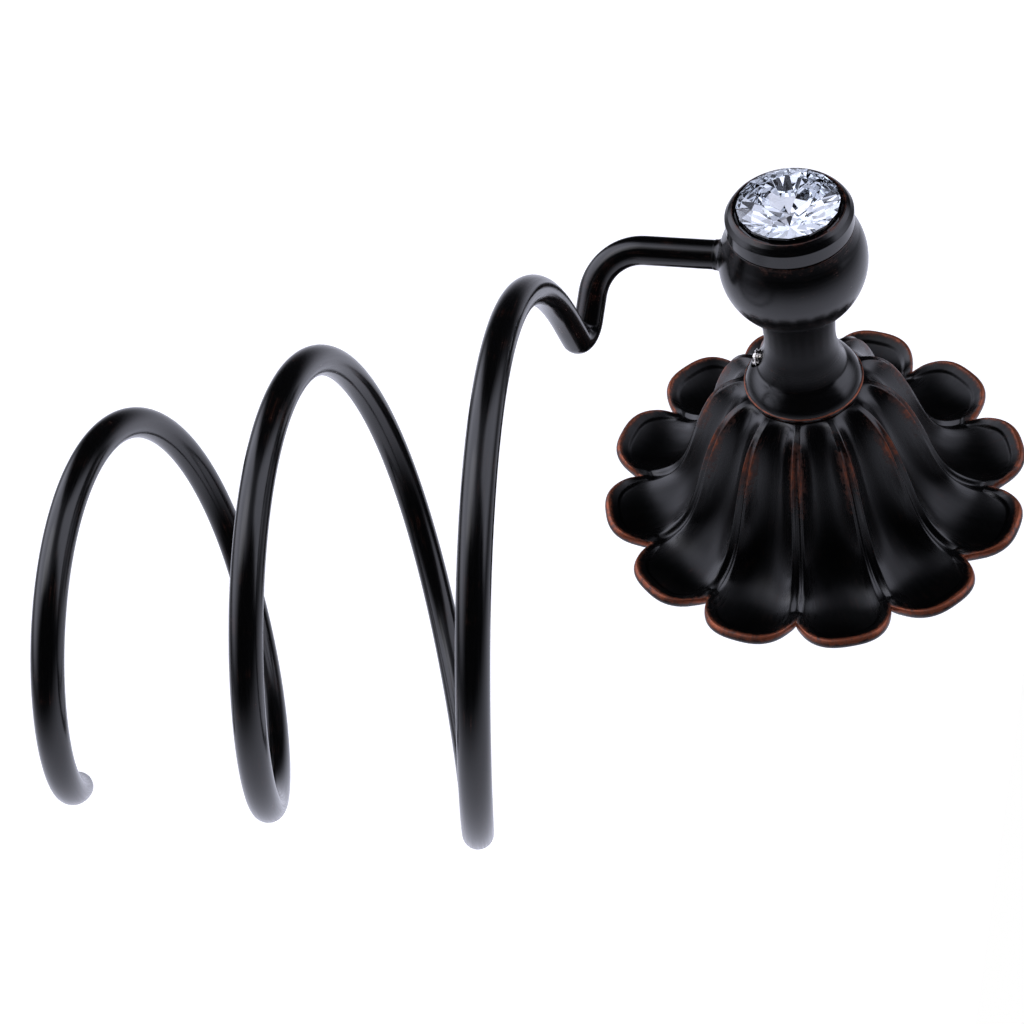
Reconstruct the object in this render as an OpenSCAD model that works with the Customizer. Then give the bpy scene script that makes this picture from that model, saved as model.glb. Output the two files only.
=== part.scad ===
// Wall-mounted spiral hair dryer holder, in millimetres.
// The wall is the plane Y = 0, the holder stands out of it along -Y, and +Z is up.
// Sub-parts are drawn in wall coordinates (x across, y up, z out of the wall),
// and from_wall() turns them into the frame above.

/* [Rod and coil] */
// Diameter of the bent rod
rod_d = 6; // [5:0.5:6.5]
// Distance from the post's axis down to the corner of the arm's first bend
arm_reach = 39; // [36:0.5:42]
// Centre-line radius of the arm's first bend
arm_bend_r = 10.4; // [8:0.2:12]
// Centre-line radius of the tight hook that leads into the coil
hook_bend_r = 3.7; // [3.6:0.1:4.5]
// Straight length between the corner of the hook and the coil
hook_lead = 12.6; // [11:0.2:14]
// Sideways distance of the coil's axis from the arm's axis
coil_side = 68.5; // [66:0.5:72]
// Drop of the coil's start below the post's axis
coil_drop = 37.7; // [36:0.1:40]
// Distance of the coil's axis from the wall
coil_out = 52.4; // [52:0.1:56]
// Sideways lean of the coil's axis in degrees
coil_lean = 15.9; // [12:0.1:18]
// Lean of the coil's axis away from the wall in degrees
coil_lift = 1.1; // [0:0.1:3]
// Centre-line radius of the coil at its top
coil_r = 50.4; // [46:0.1:51]
// Loss of radius over the first turn
coil_taper = 7.9; // [6:0.1:9]
// Growth of that loss with each turn after the first
coil_taper_growth = 0.78; // [0:0.02:1]
// Easing of the taper towards the free end
coil_taper_ease = 0.4; // [0:0.02:0.5]
// Pitch of the coil at its top
coil_pitch = 44.8; // [40:0.1:48]
// Loss of pitch with each turn
coil_pitch_loss = 5.2; // [0:0.1:6]
// Easing of the pitch loss towards the free end
coil_pitch_ease = 1.13; // [0:0.01:1.5]
// Turns from the coil's outermost point at the top to the free end
coil_turns = 2.37; // [2:0.01:2.5]

/* [Ball and cap] */
// Diameter of the ball
ball_d = 29; // [28.6:0.2:29.6]
// Distance of the ball's centre from the wall
ball_out = 69.5; // [69:0.1:70]
// Diameter of the cap and of the edge under it
ball_top_d = 24.6; // [24:0.1:25]
// Diameter of the crystal's girdle
crystal_d = 19.8; // [19:0.1:19.9]
// Height of the cap ring above its seal
cap_h = 4.7; // [4.6:0.1:5.2]

/* [Post] */
// Diameter of the foot's rim
foot_d = 24.6; // [24:0.2:26]
// Smallest diameter of the neck
neck_d = 14.4; // [14.2:0.2:15.2]
// Diameter of the wall pillar that the post slides over
pillar_d = 10; // [9:0.5:10]

/* [Rosette] */
// Number of petals
petals = 12; // [10:1:14]
// Diameter over the petal tips
rosette_d = 91; // [86:1:94]
// Diameter across the notches between petals
notch_d = 77; // [74:1:80]
// Height of the rosette from the wall to its crown
rosette_h = 35.2; // [35:0.1:35.2]
// Thickness of the rosette's wall
rosette_t = 1.7; // [1.5:0.1:1.9]
// Turn of the first rib from the horizontal in degrees
rosette_turn = 4.5; // [0:0.5:30]

/* [Wall fixing] */
// Diameter of the wall plate
plate_d = 50; // [46:1:52]
// Distance between the two wall screw holes
screw_spacing = 36; // [34:1:38]
// Diameter of the wall screw holes
screw_hole_d = 4.5; // [4:0.1:5]

/* [Hidden] */
$fn = 96;

bronze = "#241e1c";
steel = "#b9bcc0";
zinc = "#9a9ea3";

// Fits and thread stand-ins
running = 0.05;
thread_gap = 0.05;
m4_r = 2;
m6_r = 3;

// Wall fixing
plate_t = 2;
stud_head_r = 4.5;
stud_head_h = 1;
stud_len = 12;
washer_t = 0.8;
pillar_base = plate_t + washer_t;
pillar_top = 48.5;

// Post, from the wall outwards
foot_base = rosette_h + 0.15;
foot_edge_h = 0.8;
crease_r = 9.1;
crease_out = 40.6;
foot_shoulder = [foot_d / 2 - 0.7, 38.2];
neck_out = 49;
post_top = 57.5;
ball_flat_r = sqrt(pow(ball_d / 2, 2) - pow(ball_out - post_top, 2));
bore_top = pillar_top + 0.9;
set_screw_out = 40.8;
set_screw_len = 5;

// Ball cavity, from its floor outwards
bolt_seat = 64.5;
bolt_head_h = 4;
bolt_head_r = 4.9;
bolt_len = 13.8;
counterbore_r = 5.3;
cavity_floor = 74;
cavity_r = 10.05;
ball_rim = 78.3;
shoulder_r = 12.9;
boss_reach = 15.5;
tenon_r = 2.5;
tenon_end = 6.2;
lock_screw_side = 7.8;
lock_screw_len = 2.5;

// Cap
seal_h = 0.4;
cap_base = ball_rim + seal_h;
cap_top = cap_base + cap_h;
cap_rim_r = 10.8;
cap_bore_r = 8.6;
seat_r = crystal_d / 2 - 0.1;
spigot_end = 76.8;
girdle_out = cap_top + 0.3;
girdle_h = 0.5;
crown_h = 2.1;
table_r = 5.5;
culet_r = 0.4;
pavilion_slope = tan(40);
pavilion_h = (crystal_d / 2 - culet_r) * pavilion_slope;
foil_t = 0.2;

// Rod
arm_sides = 20;
rings_per_turn = 48;
end_chamfer = 0.25;
coil_start = -0.21;

// Rosette grid
columns_per_petal = 12;
columns = petals * columns_per_petal;
crown_bore_r = 5.6;

module from_wall() { rotate([90, 0, 0]) children(); }

function unit(v) = v / norm(v);
function mix(a, b, t) = a * (1 - t) + b * t;

// ---- Bent rod: centre line ----

// Directions of the coil: down its axis, out of the wall, and to the side
coil_dir = unit([sin(coil_lean), -cos(coil_lean), sin(coil_lift)]);
coil_out_dir = unit([0, 0, 1] - coil_dir * coil_dir[2]);
coil_side_dir = cross(coil_out_dir, coil_dir);

function coil_radius(n) = coil_r - coil_taper * n - coil_taper_growth * n * n
    + coil_taper_ease * n * n * n;
function coil_travel(n) = coil_pitch * n - coil_pitch_loss * n * n + coil_pitch_ease * n * n * n;
function coil_point(n) = [coil_side, -coil_drop, coil_out] + coil_travel(n) * coil_dir
    + coil_radius(n) * (cos(360 * n) * coil_out_dir + sin(360 * n) * coil_side_dir);

// Points along the round of radius r that takes off the corner between two straight runs
function bend(before, corner, after, r, steps) =
    let (a = unit(before - corner), b = unit(after - corner),
         half = acos(a * b) / 2,
         centre = corner + unit(a + b) * r / sin(half),
         first = unit(corner + a * r / tan(half) - centre),
         last = unit(corner + b * r / tan(half) - centre),
         sweep = 180 - 2 * half)
    [for (i = [0:steps])
        centre + r * (first * sin(sweep * (1 - i / steps)) + last * sin(sweep * i / steps)) / sin(sweep)];

coil_entry = coil_point(coil_start);
entry_dir = unit(coil_point(coil_start + 0.001) - coil_entry);
hook_corner = coil_entry - hook_lead * entry_dir;
arm_corner = [0, -arm_reach, ball_out];
arm_root = [0, -boss_reach, ball_out];

coil_steps = ceil((coil_turns - coil_start) * rings_per_turn);
arm_path = concat(
    [arm_root],
    bend(arm_root, arm_corner, hook_corner, arm_bend_r, 7),
    bend(arm_corner, hook_corner, coil_entry, hook_bend_r, 9),
    [for (i = [0:coil_steps]) coil_point(coil_start + (coil_turns - coil_start) * i / coil_steps)]
);

// ---- Tube swept along a centre line ----

function direction(path, i) =
    i == 0 ? unit(path[1] - path[0])
    : i == len(path) - 1 ? unit(path[i] - path[i - 1])
    : unit(unit(path[i] - path[i - 1]) + unit(path[i + 1] - path[i]));
function square_to(v, d) = unit(v - d * (v * d));
function ring(centre, side, d, r) =
    let (other = cross(d, side))
    [for (k = [0:arm_sides - 1])
        centre + r * (cos(360 * k / arm_sides) * side + sin(360 * k / arm_sides) * other)];

module tube(path, r, chamfer) {
    last = len(path) - 1;
    dirs = [for (i = [0:last]) direction(path, i)];
    sides = [for (i = 0, s = square_to([1, 0, 0], dirs[0]); i <= last;
                  i = i + 1, s = square_to(s, dirs[min(i, last)])) s];
    rings = concat(
        [for (i = [0:last - 1]) ring(path[i], sides[i], dirs[i], r)],
        [ring(path[last] - dirs[last] * chamfer, sides[last], dirs[last], r)],
        [ring(path[last], sides[last], dirs[last], r - chamfer)]);
    count = len(rings);
    faces = concat(
        [for (i = [0:count - 2], k = [0:arm_sides - 1])
            let (a = i * arm_sides + k, b = i * arm_sides + (k + 1) % arm_sides)
            [a, a + arm_sides, b + arm_sides, b]],
        [[for (k = [0:arm_sides - 1]) k]],
        [[for (k = [0:arm_sides - 1]) count * arm_sides - 1 - k]]);
    polyhedron([for (points = rings) each points], faces, convexity = 10);
}

// ---- Rosette surface ----

// Control points of the petal's hollow and of the rib, as [radius, height above the wall]
hollow_line = [[11, 35.2], [15.5, 34.6], [20, 25.2], [21, 8.8], [26, 0.4], [37, -1.6],
               [rosette_d / 2, 5]];
rib_line = [[11, 35.2], [19, 35.1], [24.5, 27.2], [25.5, 12.8], [27, 4], [33, 3.2], [notch_d / 2, 2.7]];

function choose(n, k) = k == 0 ? 1 : choose(n, k - 1) * (n - k + 1) / k;
function curve(points, s) =
    let (n = len(points) - 1)
    [for (axis = [0:1])
        let (terms = [for (k = [0:n]) choose(n, k) * pow(s, k) * pow(1 - s, n - k) * points[k][axis]])
        terms * [for (k = [0:n]) 1]];

// Share of the rib in the surface at t, which runs from -1 to 1 across one petal
function rib_share(t) = pow(abs(t), 3);
function petal_point(s, t) = mix(curve(hollow_line, s), curve(rib_line, s), rib_share(t));
function inside_point(s, t) =
    let (along = unit(petal_point(min(s + 0.01, 1), t) - petal_point(max(s - 0.01, 0), t)))
    petal_point(s, t) + rosette_t * [along[1], -along[0]];

outer_rows = 20;
inner_rows = 10;
function petal_section(t) = concat(
    [[crown_bore_r, rosette_h]],
    [for (i = [0:outer_rows]) petal_point(i / outer_rows, t)],
    [for (i = [inner_rows:-1:0]) inside_point(i / inner_rows, t)],
    [[crown_bore_r, rosette_h - rosette_t]]);

module petal_shell() {
    sections = [for (j = [0:columns - 1])
        let (angle = 360 * j / columns + rosette_turn,
             t = (j % columns_per_petal) * 2 / columns_per_petal - 1)
        [for (p = petal_section(t)) [p[0] * cos(angle), p[0] * sin(angle), p[1]]]];
    rows = len(sections[0]);
    faces = [for (j = [0:columns - 1], i = [0:rows - 1])
        let (next = (j + 1) % columns, up = (i + 1) % rows)
        each [[j * rows + i, next * rows + i, next * rows + up],
              [j * rows + i, next * rows + up, j * rows + up]]];
    polyhedron([for (section = sections) each section], faces, convexity = 10);
}

// ---- Hardware shapes ----

// Grub screw along +z with its tip at 0, a hex socket and a cup point
module grub_screw(r, length) {
    difference() {
        union() {
            cylinder(h = 0.5, r1 = r - 0.5, r2 = r);
            translate([0, 0, 0.5]) cylinder(h = length - 1, r = r);
            translate([0, 0, length - 0.5]) cylinder(h = 0.5, r1 = r, r2 = r - 0.5);
        }
        translate([0, 0, length - length * 0.4]) cylinder(h = length, r = r * 0.55, $fn = 6);
    }
}

// ---- Wall fixing ----

module wall_plate() {
    color(zinc) from_wall() difference() {
        cylinder(h = plate_t, r = plate_d / 2);
        translate([0, 0, -1]) cylinder(h = plate_t + 2, r = m6_r + 0.2);
        translate([0, 0, -1]) cylinder(h = 1 + stud_head_h, r = stud_head_r + running);
        for (side = [-1, 1])
            translate([0, side * screw_spacing / 2, -1]) cylinder(h = plate_t + 2, r = screw_hole_d / 2);
    }
}

module plate_stud() {
    color(steel) from_wall() {
        cylinder(h = stud_head_h, r = stud_head_r);
        translate([0, 0, stud_head_h]) cylinder(h = stud_len - 0.5, r = m6_r - thread_gap);
        translate([0, 0, stud_head_h + stud_len - 0.5])
            cylinder(h = 0.5, r1 = m6_r - thread_gap, r2 = m6_r - 0.5);
    }
}

module pillar_washer() {
    color(steel) from_wall() translate([0, 0, plate_t]) difference() {
        cylinder(h = washer_t, r = 5.5);
        translate([0, 0, -1]) cylinder(h = washer_t + 2, r = m6_r + 0.15);
    }
}

module wall_pillar() {
    chamfer = 0.8;
    color(steel) from_wall() difference() {
        union() {
            translate([0, 0, pillar_base]) cylinder(h = pillar_top - chamfer - pillar_base, r = pillar_d / 2);
            translate([0, 0, pillar_top - chamfer])
                cylinder(h = chamfer, r1 = pillar_d / 2, r2 = pillar_d / 2 - chamfer);
        }
        translate([0, 0, pillar_base - 1]) cylinder(h = stud_len + 1, r = m6_r);
    }
}

// ---- Rosette ----

module rosette() {
    color(bronze) from_wall() petal_shell();
}

// ---- Post ----

module post() {
    color(bronze) from_wall() difference() {
        rotate_extrude() polygon(concat(
            [[0, foot_base], [foot_d / 2 - 0.25, foot_base], [foot_d / 2, foot_base + 0.25],
             [foot_d / 2, foot_base + foot_edge_h - 0.25], [foot_d / 2 - 0.25, foot_base + foot_edge_h]],
            // Rounded side of the foot up to the crease
            [for (i = [1:8])
                mix(mix([foot_d / 2 - 0.25, foot_base + foot_edge_h], foot_shoulder, i / 8),
                    mix(foot_shoulder, [crease_r, crease_out], i / 8), i / 8)],
            // Hollow neck between the crease and the ball
            [for (i = [1:12])
                let (out = crease_out + (post_top - crease_out) * i / 12,
                     away = (out - neck_out) / (out < neck_out ? crease_out - neck_out : post_top - neck_out))
                [neck_d / 2 + ((out < neck_out ? crease_r : ball_flat_r) - neck_d / 2) * away * away, out]],
            [[0, post_top]]));
        translate([0, 0, foot_base - 1]) cylinder(h = bore_top - foot_base + 1, r = pillar_d / 2 + running);
        translate([0, 0, bore_top - 1]) cylinder(h = post_top - bore_top + 2, r = m6_r);
        translate([0, 0, set_screw_out]) rotate([90, 0, 0]) cylinder(h = 20, r = m4_r + thread_gap);
    }
}

module set_screw() {
    color(steel) from_wall() translate([0, -pillar_d / 2 - running, set_screw_out])
        rotate([90, 0, 0]) grub_screw(m4_r, set_screw_len);
}

// ---- Ball and its fixing ----

module ball() {
    ball_r = ball_d / 2;
    top_out = ball_out + sqrt(pow(ball_r, 2) - pow(shoulder_r, 2));
    color(bronze) from_wall() difference() {
        union() {
            intersection() {
                translate([0, 0, ball_out]) sphere(r = ball_r);
                translate([0, 0, post_top]) cylinder(h = top_out - post_top, r = ball_d);
            }
            // Flattened shoulder up to the edge that the cap sits on
            rotate_extrude() polygon([
                [0, top_out - 0.5],
                [shoulder_r, top_out - 0.5],
                [shoulder_r, top_out],
                [ball_top_d / 2 - 0.15, ball_rim - 0.2],
                [ball_top_d / 2 - 0.35, ball_rim],
                [0, ball_rim]]);
            // Boss that the arm's tenon goes into
            translate([0, -ball_r + 2, ball_out]) rotate([90, 0, 0])
                cylinder(h = boss_reach - ball_r + 2, r1 = rod_d / 2 + 1.4, r2 = rod_d / 2 + 0.15);
        }
        translate([0, 0, post_top - 1]) cylinder(h = ball_d, r = m6_r + 0.2);
        translate([0, 0, bolt_seat]) cylinder(h = ball_d, r = counterbore_r);
        translate([0, 0, cavity_floor]) cylinder(h = ball_d, r = cavity_r);
        translate([0, 0, ball_out]) rotate([90, 0, 0]) cylinder(h = ball_d, r = tenon_r + running);
        translate([0, -lock_screw_side, ball_out]) cylinder(h = ball_d, r = m4_r + thread_gap);
    }
}

module ball_washer() {
    color(steel) from_wall() translate([0, 0, bolt_seat]) difference() {
        cylinder(h = washer_t, r = bolt_head_r);
        translate([0, 0, -1]) cylinder(h = washer_t + 2, r = m6_r + 0.15);
    }
}

module ball_bolt() {
    head = bolt_seat + washer_t;
    color(steel) from_wall() difference() {
        union() {
            translate([0, 0, head]) cylinder(h = bolt_head_h, r = bolt_head_r);
            translate([0, 0, head - bolt_len]) cylinder(h = bolt_len, r = m6_r - thread_gap);
        }
        translate([0, 0, head + bolt_head_h - 2]) cylinder(h = 3, r = 2.3, $fn = 6);
    }
}

// ---- Arm ----

module spiral_arm() {
    color(bronze) from_wall() {
        tube(arm_path, rod_d / 2, end_chamfer);
        translate([0, -tenon_end, ball_out]) rotate([90, 0, 0])
            cylinder(h = boss_reach - tenon_end + 4, r = tenon_r);
    }
}

module arm_lock_screw() {
    color(steel) from_wall() translate([0, -lock_screw_side, ball_out + tenon_r + running])
        grub_screw(m4_r, lock_screw_len);
}

// ---- Cap ----

module cap_seal() {
    color("#0c0c0c") from_wall() translate([0, 0, ball_rim]) difference() {
        cylinder(h = seal_h, r = 11.9);
        translate([0, 0, -1]) cylinder(h = seal_h + 2, r = cavity_r + 0.05);
    }
}

// Height above the girdle's foot of the pavilion's cone at radius r
function pavilion_at(r) = girdle_out - (crystal_d / 2 - r) * pavilion_slope;

module cap_ring() {
    seat_gap = foil_t + 0.1;
    color(bronze) from_wall() rotate_extrude() polygon([
        [cap_bore_r, spigot_end],
        [cavity_r - running, spigot_end],
        [cavity_r - running, cap_base],
        [ball_top_d / 2 - 0.2, cap_base],
        [ball_top_d / 2, cap_base + 0.2],
        [ball_top_d / 2, cap_base + 2.8],
        [ball_top_d / 2 - 0.2, cap_base + 3.1],
        [ball_top_d / 2 - 0.75, cap_base + 4],
        [cap_rim_r + 0.15, cap_top - 0.1],
        [cap_rim_r, cap_top],
        [cap_rim_r - 0.3, cap_top],
        [seat_r, pavilion_at(seat_r) - seat_gap],
        [cap_bore_r, pavilion_at(cap_bore_r) - seat_gap]]);
}

module crystal() {
    color("#dfe6ee", 0.6) from_wall() {
        translate([0, 0, girdle_out - pavilion_h]) cylinder(h = pavilion_h, r1 = culet_r, r2 = crystal_d / 2);
        translate([0, 0, girdle_out]) cylinder(h = girdle_h, r = crystal_d / 2);
        translate([0, 0, girdle_out + girdle_h]) cylinder(h = crown_h, r1 = crystal_d / 2, r2 = table_r);
    }
}

module crystal_foil() {
    foil_r = 9.2;
    color("#d8d8da") from_wall() rotate_extrude() polygon([
        [0, pavilion_at(culet_r) - foil_t],
        [culet_r, pavilion_at(culet_r) - foil_t],
        [foil_r, pavilion_at(foil_r) - foil_t],
        [foil_r, pavilion_at(foil_r)],
        [culet_r, pavilion_at(culet_r)],
        [0, pavilion_at(culet_r)]]);
}

wall_plate();
plate_stud();
pillar_washer();
wall_pillar();
rosette();
post();
set_screw();
ball();
ball_bolt();
ball_washer();
spiral_arm();
arm_lock_screw();
cap_seal();
cap_ring();
crystal();
crystal_foil();
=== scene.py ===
"""Looks of a wall-mounted spiral hair dryer holder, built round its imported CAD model.

Shapes are worked out in millimetres in wall coordinates (x across, y up, z out of the wall),
like the CAD source, and to_row() turns them into the frame's metres.
"""

import math

import bpy
import numpy as np
from mathutils import Matrix, Vector


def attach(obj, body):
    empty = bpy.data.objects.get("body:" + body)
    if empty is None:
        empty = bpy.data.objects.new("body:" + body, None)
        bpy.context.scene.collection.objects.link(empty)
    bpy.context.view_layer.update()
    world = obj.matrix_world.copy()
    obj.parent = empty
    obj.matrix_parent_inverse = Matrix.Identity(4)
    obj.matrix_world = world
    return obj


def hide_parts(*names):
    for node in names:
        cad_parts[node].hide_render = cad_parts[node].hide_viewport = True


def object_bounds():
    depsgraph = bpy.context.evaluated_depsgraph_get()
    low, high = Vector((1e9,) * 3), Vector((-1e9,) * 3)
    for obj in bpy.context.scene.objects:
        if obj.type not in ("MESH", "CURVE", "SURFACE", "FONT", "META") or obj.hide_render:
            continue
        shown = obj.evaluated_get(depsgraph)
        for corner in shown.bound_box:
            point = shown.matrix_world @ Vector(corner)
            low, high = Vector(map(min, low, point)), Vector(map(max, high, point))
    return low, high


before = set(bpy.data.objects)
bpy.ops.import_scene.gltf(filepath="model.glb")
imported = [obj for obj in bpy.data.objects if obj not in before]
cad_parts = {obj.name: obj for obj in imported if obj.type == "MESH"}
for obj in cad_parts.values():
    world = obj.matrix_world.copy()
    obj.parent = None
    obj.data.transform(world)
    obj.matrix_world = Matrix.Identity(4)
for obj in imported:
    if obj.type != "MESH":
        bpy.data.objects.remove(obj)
cad_low, cad_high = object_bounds()

# ---------------------------------------------------------------- sizes, in millimetres

ROD_R = 2.92
BALL_R, BALL_OUT, BALL_RIM = 14.5, 69.5, 78.3
SHOULDER_R = 12.9                  # where the ball's round side ends below the cap
TOP_R = 12.3                       # outer radius of the cap
POST_FOOT, POST_TOP = 35.35, 57.5
FOOT_R, CREASE_R, CREASE_OUT = 12.3, 9.1, 40.6
FOOT_BAND, FOOT_SHOULDER = 0.85, 38.2   # height of its edge band, and the skirt's curve point
NECK_R, NECK_OUT = 7.2, 49.0
SET_SCREW_OUT, SET_SCREW_LEN = 40.8, 5.0
LOCK_SCREW_SIDE, LOCK_SCREW_OUT, LOCK_SCREW_LEN = -7.8, 72.05, 2.5
SCREW_HOLE_R = 2.05
PILLAR_BORE, BORE_TOP, BOLT_HOLE = 5.05, 49.4, 3.0
TENON_BORE = 2.55
CAP_BASE, CAP_TOP = 78.7, 83.4
GIRDLE_R, GIRDLE_OUT, GIRDLE_H = 9.9, 83.7, 0.5
CROWN_H, TABLE_R, STAR_R, LOWER_R = 2.1, 5.5, 7.3, 3.6
PAVILION_SLOPE = math.tan(math.radians(40))
PETALS = 12
CROWN_OUT, CROWN_BORE = 35.2, 5.6
ROSETTE_T = 1.7
ROSETTE_TURN = math.radians(4.5)
# Control points (radius, out) of the curves down a petal's hollow and down its rib
HOLLOW_LINE = [(11, CROWN_OUT), (15.5, 34.6), (20, 25.2), (21, 8.8), (26, 0.4), (37, -1.6), (45.5, 5)]
RIB_LINE = [(11, CROWN_OUT), (19, 35.1), (24.5, 27.2), (25.5, 12.8), (27, 4), (33, 3.2), (38.5, 2.7)]


def to_row(points):
    """Wall coordinates in millimetres to the row frame in metres."""
    p = np.asarray(points, float)
    return np.stack([p[..., 0], -p[..., 2], p[..., 1]], -1) / 1000


# ---------------------------------------------------------------- meshes

def make_piece(name, points, faces, body, nodes, material, grain=None, wear=None, painted_shade=None):
    """A smooth mesh piece from wall coordinates, with its brushing direction, its wear and its painted shade,
    where it reflects less.
    """
    mesh = bpy.data.meshes.new(name)
    mesh.from_pydata(to_row(points).tolist(), [], faces)
    mesh.validate()
    mesh.polygons.foreach_set("use_smooth", [True] * len(mesh.polygons))
    if grain is not None:
        layer = mesh.attributes.new("grain", "FLOAT_VECTOR", "POINT")
        layer.data.foreach_set("vector", np.asarray(grain, np.float32).ravel())
    for label, values in (("wear", wear), ("painted_shade", painted_shade)):
        if values is not None:
            layer = mesh.attributes.new(label, "FLOAT", "POINT")
            layer.data.foreach_set("value", np.asarray(values, np.float32).ravel())
    mesh.materials.append(material)
    piece = bpy.data.objects.new(name, mesh)
    bpy.context.scene.collection.objects.link(piece)
    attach(piece, body)
    if nodes:
        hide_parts(*nodes)
    return piece


def grid_faces(rows, columns, wrap_rows, wrap_columns):
    """Quads of a grid of rows by columns, stored row after row."""
    faces = []
    for i in range(rows if wrap_rows else rows - 1):
        for j in range(columns if wrap_columns else columns - 1):
            a, b = i * columns + j, i * columns + (j + 1) % columns
            up = ((i + 1) % rows - i) * columns
            faces.append((a, b, b + up, a + up))
    return faces


def rounded(corners, steps=5):
    """A profile whose corners (x, z, radius) are rounded, with support points beside each round."""
    out = []
    for i, (x, z, r) in enumerate(corners):
        p = np.array([x, z], float)
        if r == 0 or i in (0, len(corners) - 1):
            out.append(p)
            continue
        before = np.array(corners[i - 1][:2], float) - p
        after = np.array(corners[i + 1][:2], float) - p
        la, lb = np.linalg.norm(before), np.linalg.norm(after)
        a, b = before / la, after / lb
        half = math.acos(max(-1, min(1, float(a @ b)))) / 2
        cut = min(r / math.tan(half), 0.45 * la, 0.45 * lb)
        out.append(p + a * min(cut * 1.5, 0.49 * la))
        for k in range(steps + 1):
            s = k / steps
            out.append((1 - s) ** 2 * (p + a * cut) + 2 * s * (1 - s) * p + s * s * (p + b * cut))
        out.append(p + b * min(cut * 1.5, 0.49 * lb))
    return np.array(out)


def turned(profile, segments=160):
    """Points and faces of a profile of (radius, out) turned about the post's axis."""
    profile = np.asarray(profile, float)
    angle = np.linspace(0, 2 * math.pi, segments, endpoint=False)
    points = np.stack([profile[:, :1] * np.cos(angle), profile[:, :1] * np.sin(angle),
                       np.repeat(profile[:, 1:], segments, 1)], -1).reshape(-1, 3)
    return points, grid_faces(len(profile), segments, True, True)


def turned_grain(points):
    """Brushing coordinates of a turned piece: fine along the profile, slow round the axis."""
    radius = np.hypot(points[:, 0], points[:, 1])
    return np.stack([(points[:, 2] + 0.7 * radius) * 6, points[:, 0] / 7, points[:, 1] / 7], -1)


def smooth_by_angle(piece, degrees):
    """Splits the shading at edges sharper than that angle."""
    piece.data.set_sharp_from_angle(angle=math.radians(degrees))


def near(value, target, width):
    """1 where value is at target, fading to 0 over width."""
    return np.clip(1 - np.abs(value - target) / width, 0, 1)


# ---------------------------------------------------------------- node helpers

def new_material(name):
    """A node material with its node tree and its shader."""
    material = bpy.data.materials.new(name)
    material.use_nodes = True
    shader = material.node_tree.nodes["Principled BSDF"]
    return material, material.node_tree, shader


def add(tree, kind, inputs=(), **settings):
    """A node of that kind, with its settings, and its inputs linked or set."""
    node = tree.nodes.new(kind)
    for key, value in settings.items():
        setattr(node, key, value)
    for key, value in dict(inputs).items():
        if isinstance(value, bpy.types.NodeSocket):
            tree.links.new(value, node.inputs[key])
        else:
            node.inputs[key].default_value = value
    return node


def math_node(tree, operation, a, b=0.0, c=0.0):
    """The output of a Math node."""
    return add(tree, "ShaderNodeMath", {0: a, 1: b, 2: c}, operation=operation).outputs[0]


def spread(tree, value, low, high, to_low=0.0, to_high=1.0):
    """value from low..high mapped smoothly to to_low..to_high."""
    return add(tree, "ShaderNodeMapRange",
               {"Value": value, "From Min": low, "From Max": high, "To Min": to_low, "To Max": to_high},
               interpolation_type="SMOOTHSTEP").outputs[0]


def mix_colour(tree, factor, a, b):
    """Colour a where factor is 0 and b where it is 1."""
    node = add(tree, "ShaderNodeMix", data_type="RGBA")
    for key, value in ((0, factor), (6, a), (7, b)):
        if isinstance(value, bpy.types.NodeSocket):
            tree.links.new(value, node.inputs[key])
        else:
            node.inputs[key].default_value = value
    return node.outputs[2]


def noise(tree, vector, scale, detail=3.0, roughness=0.55):
    return add(tree, "ShaderNodeTexNoise",
               {"Vector": vector, "Scale": scale, "Detail": detail, "Roughness": roughness}).outputs[0]


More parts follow.
